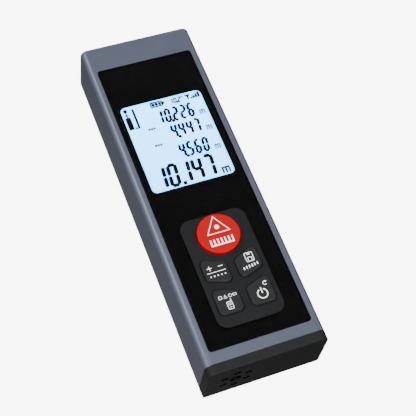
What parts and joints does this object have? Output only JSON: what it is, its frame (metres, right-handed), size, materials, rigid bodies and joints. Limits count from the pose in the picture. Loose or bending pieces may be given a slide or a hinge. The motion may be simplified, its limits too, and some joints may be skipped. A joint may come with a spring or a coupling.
{
  "type": "laser distance meter",
  "caption": "Pocket laser distance meter: flat rounded metal case, black glossy front with backlit display, rubber keypad with a round red measuring button, black end cap with sound holes.",
  "frame": {"origin": "middle of the back face, which lies on z = 0", "axes": "+Z out of the front face with the display, +Y the way the laser leaves, +X to the right when the display is read"},
  "size_m": [0.038, 0.12, 0.0195],
  "materials": {
    "case_metal": "satin blue-grey anodised, fine bead-blast grain",
    "cap_plastic": "moulded black, fine spark texture",
    "clear_cover": "clear polished acrylic",
    "panel_print": "black print under the cover",
    "display": "backlit liquid crystal display with dark segments",
    "light_guide": "milky acrylic light guide",
    "inner_plastic": "black glass-filled plastic",
    "ribbon": "amber polyimide film",
    "keypad_rubber": "dark grey silicone, matt",
    "key_rubber": "dark grey silicone, satin, white printed marks",
    "red_button": "red silicone, satin, white printed marks",
    "dome_steel": "bright spring steel",
    "board_green": "green solder mask",
    "chip_black": "black moulded packages",
    "screw_steel": "zinc-plated steel",
    "cell_wrap": "printed cell sleeve, no lettering",
    "contact_steel": "nickel-plated spring steel",
    "buzzer_black": "black moulded buzzer",
    "optic_glass": "coated optical glass",
    "pane_glass": "clear pane with a faint red filter tint",
    "sensor_metal": "gold-washed can",
    "brass": "turned brass"
  },
  "bodies": {
    "case": {"housing": "case_metal", "front_panel": "clear_cover", "panel_mask": "panel_print", "end_cap": "cap_plastic", "display_glass": "display", "backlight": "light_guide", "display_frame": "inner_plastic", "display_ribbon": "ribbon", "keypad_mat": "keypad_rubber", "switch_domes": "dome_steel", "main_board": "board_green", "board_chips": "chip_black", "board_screws": "screw_steel", "battery_tray": "inner_plastic", "battery_left": "cell_wrap", "battery_right": "cell_wrap", "end_contacts": "contact_steel", "bridge_contact": "contact_steel", "battery_springs": "contact_steel", "buzzer": "buzzer_black", "optics_frame": "inner_plastic", "receiver_lens": "optic_glass", "receiver_board": "board_green", "photodiode": "sensor_metal", "laser_barrel": "brass", "collimator_lens": "optic_glass", "laser_diode": "sensor_metal", "lens_bezel": "cap_plastic", "bezel_screws": "screw_steel", "optical_pane": "pane_glass"},
    "measure_button": {"measure_button": "red_button"},
    "adjust_key": {"adjust_key": "key_rubber"},
    "memory_key": {"memory_key": "key_rubber"},
    "function_key": {"function_key": "key_rubber"},
    "power_key": {"power_key": "key_rubber"},
    "battery_door": {"battery_door": "cap_plastic"}
  },
  "joints": [
    {"name": "measure_button_press", "type": "slide", "parent": "case", "child": "measure_button", "axis": [0, 0, -1], "range_m": [0, 0.0004], "stiffness_N_per_m": 2000, "springref_m": -0.0003},
    {"name": "adjust_key_press", "type": "slide", "parent": "case", "child": "adjust_key", "axis": [0, 0, -1], "range_m": [0, 0.0004], "stiffness_N_per_m": 2000, "springref_m": -0.0003},
    {"name": "memory_key_press", "type": "slide", "parent": "case", "child": "memory_key", "axis": [0, 0, -1], "range_m": [0, 0.0004], "stiffness_N_per_m": 2000, "springref_m": -0.0003},
    {"name": "function_key_press", "type": "slide", "parent": "case", "child": "function_key", "axis": [0, 0, -1], "range_m": [0, 0.0004], "stiffness_N_per_m": 2000, "springref_m": -0.0003},
    {"name": "power_key_press", "type": "slide", "parent": "case", "child": "power_key", "axis": [0, 0, -1], "range_m": [0, 0.0004], "stiffness_N_per_m": 2000, "springref_m": -0.0003},
    {"name": "battery_door_swing", "type": "hinge", "parent": "case", "child": "battery_door", "pos_m": [0, -0.0052, 0], "axis": [1, 0, 0], "range_deg": [0, 75]}
  ]
}
